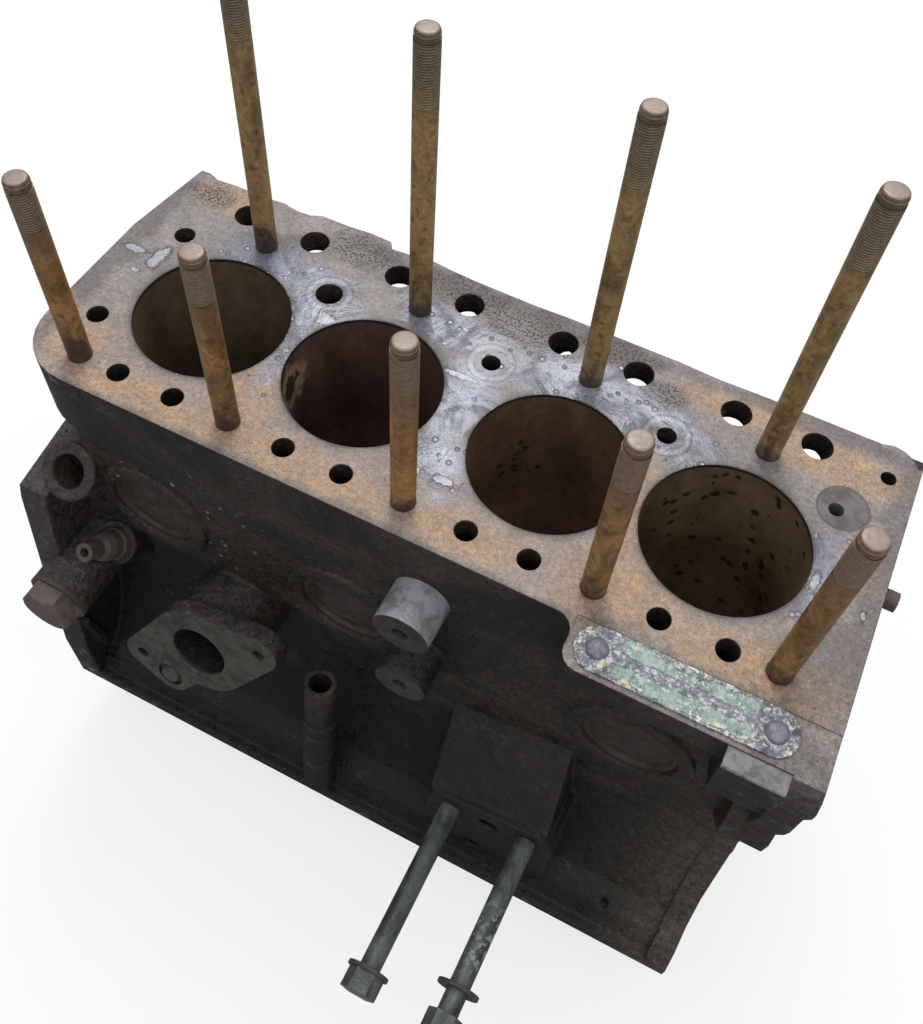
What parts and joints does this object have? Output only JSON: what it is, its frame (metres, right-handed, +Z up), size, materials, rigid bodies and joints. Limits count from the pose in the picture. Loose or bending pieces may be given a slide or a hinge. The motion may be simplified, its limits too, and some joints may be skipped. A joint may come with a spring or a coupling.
{
  "type": "engine block",
  "caption": "Bare in-line engine block with open cylinder bores, head studs, core plugs, distributor seat, filter bolts and main bearing caps.",
  "frame": {"origin": "deck face at the middle of the bore line, halfway between the two inner cylinders", "axes": "+Z up out of the deck along the bores, +X along the crankshaft to the timing end, +Y to the camshaft side"},
  "size_m": [0.3505, 0.266, 0.396],
  "materials": {
    "cast_iron": "oily, rust-stained casting",
    "stud_steel": "olive-brown rusted steel",
    "plug_steel": "rusted pressed steel",
    "plate_paint": "flaking pale green paint",
    "bare_steel": "bare worn steel",
    "white_metal": "white-metal lined steel",
    "bolt_steel": "greasy grey-green steel"
  },
  "bodies": {
    "root": {"engine_block": "cast_iron", "long_head_studs": "stud_steel", "short_head_studs": "stud_steel", "core_plug_rear": "plug_steel", "core_plug_middle": "plug_steel", "core_plug_front": "plug_steel", "deck_plug": "bare_steel", "number_plate": "plate_paint", "plate_drive_screws": "bare_steel", "relief_valve_cap": "plug_steel", "relief_valve_washer": "stud_steel", "relief_valve_plunger": "bare_steel", "drain_tap": "plug_steel", "distributor_seat_plug": "stud_steel", "oil_gallery_plugs": "bare_steel", "filter_bolts": "bolt_steel", "filter_bolt_washers": "stud_steel", "water_pump_stud": "stud_steel", "main_cap_front": "cast_iron", "main_cap_centre": "cast_iron", "main_cap_rear": "cast_iron", "main_cap_bolts": "bare_steel", "main_cap_lock_washers": "bare_steel", "cam_bearing_front": "white_metal", "cam_bearing_centre": "white_metal", "cam_bearing_rear": "white_metal"}
  },
  "joints": []
}
